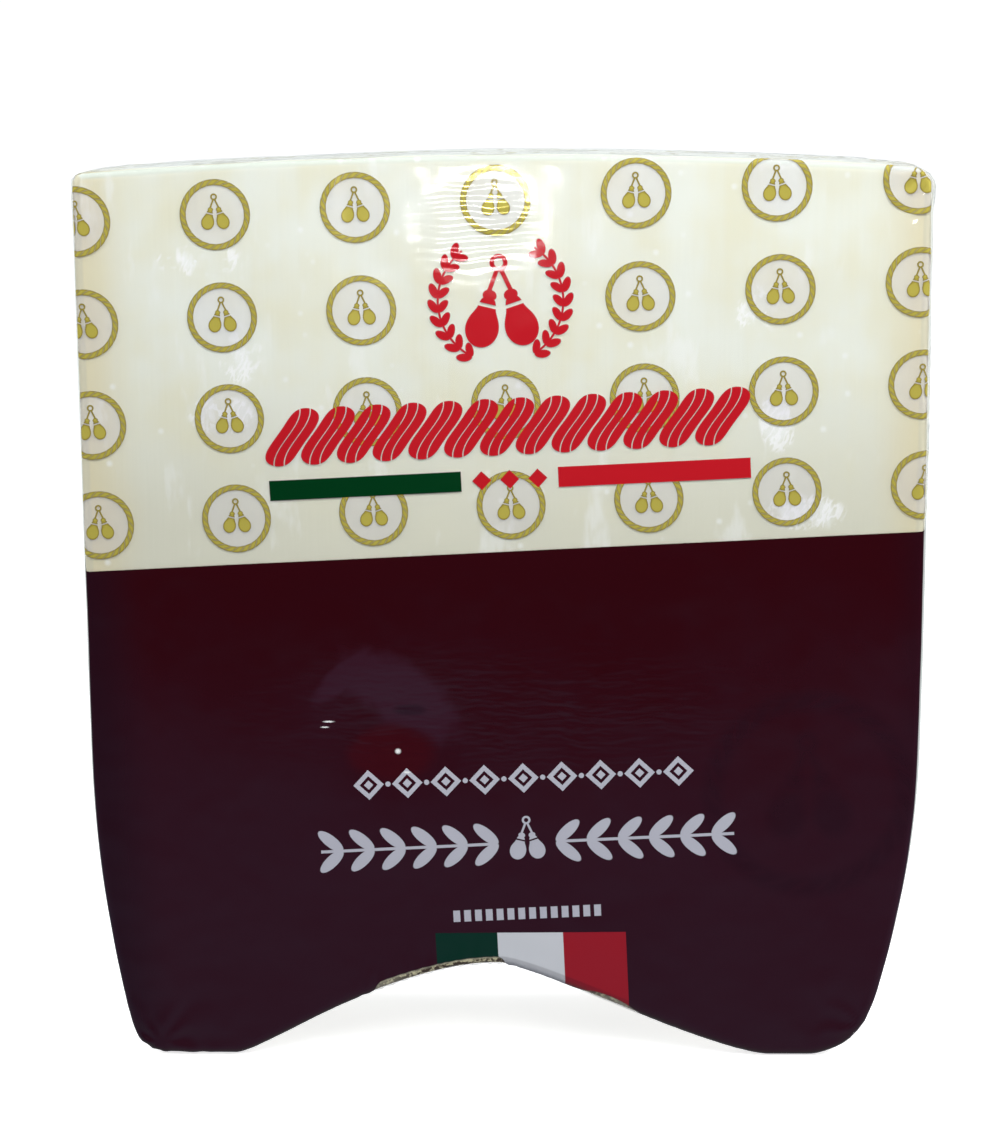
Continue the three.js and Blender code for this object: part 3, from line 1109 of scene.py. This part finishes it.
def lower_print(bench, u, v, lap, depth, place, normal):
    """Wine-red film with white ornaments; the ink ends under the pack, where the rind shows."""
    shadow = SHADOW_MEDALLION
    ring, _ = medallion(
        bench, (u - shadow["u"]) / shadow["scale"], (v - shadow["v"]) / shadow["scale"]
    )
    colour = wine_colour(bench, u, v, place)
    in_shadow = inked(ring * shadow["scale"], shadow["soft"]) * shadow["dark"]
    colour = blend(in_shadow, colour, WINE_DARK)
    squares = box_outline(
        bench,
        nearest_in_row(bench, u - SQUARES["u"], SQUARES["pitch"], SQUARES["count"]),
        v - SQUARES["v"],
        *SQUARES["half"],
    )
    white = inked(bench.smaller(lozenge_row(bench, u, v), leaf_band(bench, u, v), squares))
    colour = blend(white, colour, WHITE)
    x, y, z = bench.split(place)
    # Painted glints: small white highlights on the front of the ink, in the same white as the whey.
    glints = [bench.from_spot(x, z, glint) for glint in GLINTS]
    colour = blend(bench.ease(bench.smaller(*glints), 1.5, 0.4) * (y < 0.0), colour, WHEY_AND_GLINT_WHITE)
    above_patch = v + u * PATCH["dip"] - PATCH["top"]
    in_patch = inked(bench.larger(PATCH["left"] - u, u - PATCH["right"], above_patch))
    patch = blend(inked(u - PATCH["green_to"]), PATCH_WHITE, PATCH_GREEN)
    patch = blend(inked(PATCH["white_to"] - u), patch, PATCH_RED)
    # Painted shade: the tricolour patch darkens where it turns under the bottom edge.
    fold_painted_shade = inked(depth - lap - FOLD_HIGH, 0.4) * (y < 0.0) * FOLD_SHADE
    colour = blend(in_patch, colour, blend(fold_painted_shade, patch, WINE_DARK))
    ink = coat(bench, colour, FILM_ROUGHNESS, {"Normal": normal})
    gathered = bench.ease(abs(x - GATHERED["x"]), GATHERED["half"], GATHERED["half"] - 3)
    drawn_up = bench.ease(abs(x - DRAWN_UP["x"]), DRAWN_UP["half"], 0)
    bare_from = bench.smaller(
        bench.pick(gathered, INK_LAP, GATHERED_LAP),
        bench.pick(drawn_up, INK_LAP, DRAWN_UP["lap"]),
    )
    under = (abs(x) < BARE_UNDER["half"]) * (v < BARE_UNDER["top"])
    return over(inked(bare_from - lap + depth, 0.25) * under, ink, clear_film(bench, normal))


# %% The printed film finish
WINE_EDGE = 83.27


def film_finish():
    """The whole printed film: the upper print above the wine field's edge, the lower one below."""
    finish, bench = new_finish("printed_film")
    u, v, lap = bench.split(stored(bench, "print", "Vector"))
    depth = stored(bench, "depth", "Fac")
    place = object_place(bench)
    normal = film_surface(bench, place)
    upper = upper_print(bench, u, v, normal)
    lower = lower_print(bench, u, v, lap, depth, place, normal)
    close_finish(bench, over(inked(v - WINE_EDGE), upper, lower))
    return finish


# %% [markdown]
# ### Make the cheese and its film
#
# Both come from the skin's tree. The film's grid is finer, because it carries the pleats, and the
# cheese is drawn in by the film's thickness and the little air that stays under it.

# %% Cheese and film
FILM_AND_AIR = 0.18
cheese = run_form("cheese_slab", skin_form(), {
    "Rims": rims_curve, "Columns": 121, "Stations": 24, "Rows": 110,
    "Inset": FILM_AND_AIR, "Pleats": 0.0, "Finish": cheese_finish(),
})
film = run_form("film_skin", skin_form(), {
    "Rims": rims_curve, "Columns": 201, "Stations": 36, "Rows": 160,
    "Inset": 0.0, "Pleats": 1.0, "Finish": film_finish(),
})
bpy.data.objects.remove(rims_curve)

# %% [markdown]
# ## The seals of the bag
#
# A film bag is closed by heat seals: one up the middle of the back, where the flat film became a
# tube, and one across its open end, which was tucked under the pack. The other end is a fold. Each
# seal is a narrow band of doubled film, ribbed by the jaws that pressed it, and laid flat by the
# shrinking. They could be cut from planes and pushed onto the film one by one. One tree lays both
# instead: it casts each point of a thin ribbed strip onto the film, so that it follows every swell.

# %% The tree of a seal
SEAL_THICK = 0.16
RIB_DEEP = 0.12
CAST_FROM = 30.0


def seal_form():
    """A ribbed strip, cast onto the film along a direction."""
    bench, ports = new_form("ribbed_seal", {
        "Film": "Object", "Middle": "Vector", "Along": "Vector", "Outward": "Vector",
        "Length": "Float", "Width": "Float", "Ribs": "Float",
        "Steps Along": "Int", "Steps Across": "Int", "Finish": "Material",
    })
    sockets = {
        "Size": (2.0, 2.0, 2.0), "Vertices X": ports["Steps Across"],
        "Vertices Y": ports["Steps Along"], "Vertices Z": 2,
    }
    strip = bench.add("GeometryNodeMeshCube", {}, sockets)
    here = bench.add("GeometryNodeInputPosition")
    strip = store(bench, strip, "POINT", "strip_place", here)
    across, along, lift = bench.split(recall(bench, "strip_place"))
    sideways = bench.work("CROSS_PRODUCT", ports["Along"], ports["Outward"])
    wander = (bench.noise(bench.join(along * 9, 0.0, 0.0), 1.6) - 0.5) * 0.9
    ease_x = sideways * (across * ports["Width"] / 2 + wander).spread()
    ease_y = ports["Along"] * (along * ports["Length"] / 2).spread()
    start = ports["Middle"] + ease_x + ease_y + ports["Outward"] * CAST_FROM
    film_shape = bench.add("GeometryNodeObjectInfo", {}, {"Object": ports["Film"]}, out="Geometry")
    sockets = {
        "Target Geometry": film_shape, "Source Position": start * MM,
        "Ray Direction": ports["Outward"] * -1.0, "Ray Length": 2 * CAST_FROM * MM,
    }
    landed = bench.add("GeometryNodeRaycast", {}, sockets, out="Hit Position")
    ribs = (along * ports["Ribs"] * math.pi).work("COSINE") * 0.5 + 0.5
    thick = (lift + 1) / 2 * (ribs * RIB_DEEP + SEAL_THICK) + 0.03
    raised = landed + ports["Outward"] * (thick * MM).spread()
    laid = bench.add("GeometryNodeSetPosition", {}, {"Geometry": strip, "Position": raised})
    laid = bench.add("GeometryNodeRemoveAttribute", {}, {"Geometry": laid, "Name": "strip_place"})
    close_form(bench, laid, ports["Finish"])
    return bench


# %% The doubled film of the seals
MILK_COLOURS = (paint(226, 228, 222), paint(242, 243, 240))
SEAL_ROUGHNESS = 0.25


def seal_finish():
    """Doubled film: still clear, but a little milky."""
    finish, bench = new_finish("clear_film")
    place = object_place(bench)
    milk = bench.noise(place, 6, detail=1.0)
    normal = relief_normal(bench, milk * 0.05)
    milky = coat(bench, blend(milk, *MILK_COLOURS), SEAL_ROUGHNESS, {"Normal": normal})
    cover = milk * 0.1 + 0.02
    close_finish(bench, over(cover, clear_film(bench, normal, 0.2), milky))
    return finish


# %% Lay the two seals
SEALS = {
    "back_seal": {
        "Middle": (0.0, THICKNESS / 2, 79.0), "Along": (0.0, 0.0, 1.0), "Outward": (0.0, 1.0, 0.0),
        "Length": 121.0, "Width": 8.0, "Ribs": 96.0, "Steps Along": 577, "Steps Across": 13,
    },
    "groove_seal": {
        "Middle": (-1.0, 0.0, 5.0), "Along": (1.0, 0.0, 0.0), "Outward": (0.0, 0.0, -1.0),
        "Length": 70.0, "Width": 7.0, "Ribs": 56.0, "Steps Along": 337, "Steps Across": 11,
    },
}
seal_clear = seal_finish()
seals = [
    run_form(name, seal_form(), {**sizes, "Film": film, "Finish": seal_clear})
    for name, sizes in SEALS.items()
]

# %% [markdown]
# ## Join the pieces to the frame
#
# The film and the cheese stand for the imported solid, which stays hidden where it is. Everything
# rides on the only body, and each piece's finish is named after the material slot it belongs to.

# %% Ride on the body and replace the solid
slots = [(film, "printed_film"), (cheese, "cheese"), *((seal, "clear_film") for seal in seals)]
for piece, slot in slots:
    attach(piece, "root")
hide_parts("provolone_pack")
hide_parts("provolone_pack")

# %% [markdown]
# ## A pale tent and soft light
#
# A glossy dark film mirrors whatever stands in front of it, so it is photographed inside a pale
# tent with a soft light overhead. The tent is one bowl-shaped sheet: a floor that sweeps up into a
# wall all round, so that there is no horizon from any side. A white tent would also fill every
# shade and lie as a veil on the dark film, so it neither lights the pack nor shows in it. The sky
# beyond it, dark and a little blue near the horizon, is what the gloss picks up instead. Film seen
# at a slant is a mirror, so a white board stands behind the pack and keeps its rims pale. The board
# has a gap low in its middle, because the flat back would mirror it whole.

# %% The tent
TENT_RADIUS = 1.7
TENT_SWEEP = 0.6
TENT_HEIGHT = 1.6
TENT_SIDES = 96
TENT_SINK = 0.0003
SWEEP_STEPS = 10
CLOTH_COLOURS = (paint(242, 242, 241), paint(246, 246, 246))
CLOTH_GLOW = 0.74


def tent_profile():
    """Distance from the middle and height, from the floor's middle up to the rim of the wall."""
    profile = [(TENT_RADIUS * share, 0.0) for share in (0.08, 0.25, 0.45)]
    for step in range(SWEEP_STEPS + 1):
        angle = math.pi / 2 * step / SWEEP_STEPS
        profile.append((
            TENT_RADIUS - TENT_SWEEP + TENT_SWEEP * math.sin(angle),
            TENT_SWEEP - TENT_SWEEP * math.cos(angle),
        ))
    profile.append((TENT_RADIUS, TENT_HEIGHT))
    return profile


def make_tent():
    """The bowl, with its middle closed by one point."""
    profile = tent_profile()
    points = [(0.0, 0.0, -TENT_SINK)]
    for away, height in profile:
        for side in range(TENT_SIDES):
            angle = math.tau * side / TENT_SIDES
            points.append((away * math.cos(angle), away * math.sin(angle), height - TENT_SINK))
    faces = [(0, 1 + side, 1 + (side + 1) % TENT_SIDES) for side in range(TENT_SIDES)]
    for ring in range(len(profile) - 1):
        inner, outer = 1 + ring * TENT_SIDES, 1 + (ring + 1) * TENT_SIDES
        for side in range(TENT_SIDES):
            after = (side + 1) % TENT_SIDES
            faces.append((inner + side, outer + side, outer + after, inner + after))
    mesh = bpy.data.meshes.new("tent")
    mesh.from_pydata(points, [], faces)
    mesh.shade_smooth()
    tent = bpy.data.objects.new("tent", mesh)
    bpy.context.collection.objects.link(tent)
    tent.visible_glossy = False
    tent.visible_diffuse = False
    return tent


def tent_finish():
    """Matt white cloth, lit a little from behind, with a barely visible unevenness."""
    finish, bench = new_finish("tent_cloth")
    cloth = bench.noise(object_place(bench), 400, detail=1.0)
    glow = {
        "Specular IOR Level": 0.0,
        "Emission Color": (1.0, 1.0, 1.0, 1.0),
        "Emission Strength": CLOTH_GLOW,
    }
    close_finish(bench, coat(bench, blend(cloth, *CLOTH_COLOURS), 0.9, glow))
    return finish


tent = make_tent()
tent.data.materials.append(tent_finish())

# %% The sky beyond the tent
SKY_STOPS = [
    (0.0, (0.40, 0.40, 0.42, 1.0)),
    (0.3, (0.13, 0.14, 0.22, 1.0)),
    (0.4, (0.02, 0.022, 0.034, 1.0)),
    (0.52, (0.015, 0.017, 0.022, 1.0)),
    (0.58, (0.30, 0.33, 0.35, 1.0)),
    (1.0, (0.32, 0.34, 0.36, 1.0)),
]
BOARD_WHITE = (0.92, 0.97, 0.96, 1.0)


def hang_sky():
    """A sky, dark and cool at the horizon and pale overhead, with a board behind the pack."""
    sky = bpy.data.worlds.new("sky")
    sky.use_nodes = True
    sky.node_tree.nodes.clear()
    bench = Bench(sky.node_tree)
    beside, away, height = bench.split(bench.add("ShaderNodeTexCoord", {}, {}, out="Generated"))
    colour = bench.add("ShaderNodeValToRGB", {"stops": SKY_STOPS}, {"Fac": height * 0.5 + 0.5})
    board = bench.larger(bench.ease(abs(beside), 0.12, 0.2), bench.ease(height, -0.05, 0.05))
    colour = blend(bench.ease(away, 0.7, 0.8) * board, colour, BOARD_WHITE)
    light = bench.add("ShaderNodeBackground", {}, {"Color": colour, "Strength": 1.0})
    end = sky.node_tree.nodes.new("ShaderNodeOutputWorld")
    sky.node_tree.links.new(light.socket, end.inputs["Surface"])
    bpy.context.scene.world = sky


hang_sky()


# %% The lights
def hang_light(name, place, aim, size, power, mirrored=False):
    """A soft light at a place, turned to face a point; places and sizes in millimetres."""
    data = bpy.data.lights.new(name, "AREA")
    data.shape = "RECTANGLE"
    data.size, data.size_y = (side * MM for side in size)
    data.energy = power
    light = bpy.data.objects.new(name, data)
    light.visible_glossy = mirrored
    bpy.context.collection.objects.link(light)
    light.location = Vector(place) * MM
    light.rotation_euler = (Vector(aim) - Vector(place)).to_track_quat("-Z", "Y").to_euler()
    return light


hang_light("key", (54, -240, 314), (0, 0, 120), (240, 240), 1.05)
hang_light("overhead", (0, 150, 1500), (0, 0, 0), (1200, 1200), 3.0)
hang_light("left fill", (-450, -20, 240), (-60, 0, 80), (300, 300), 1.4)
hang_light("right fill", (450, -20, 240), (60, 0, 80), (300, 300), 1.4)
hang_light("spark", (-15, -441, 120), (-4, -17, 134), (26, 30), 0.08, mirrored=True)
hang_light("edge", (0, -300, 700), (0, 0, HEIGHT), (500, 12), 0.15, mirrored=True)
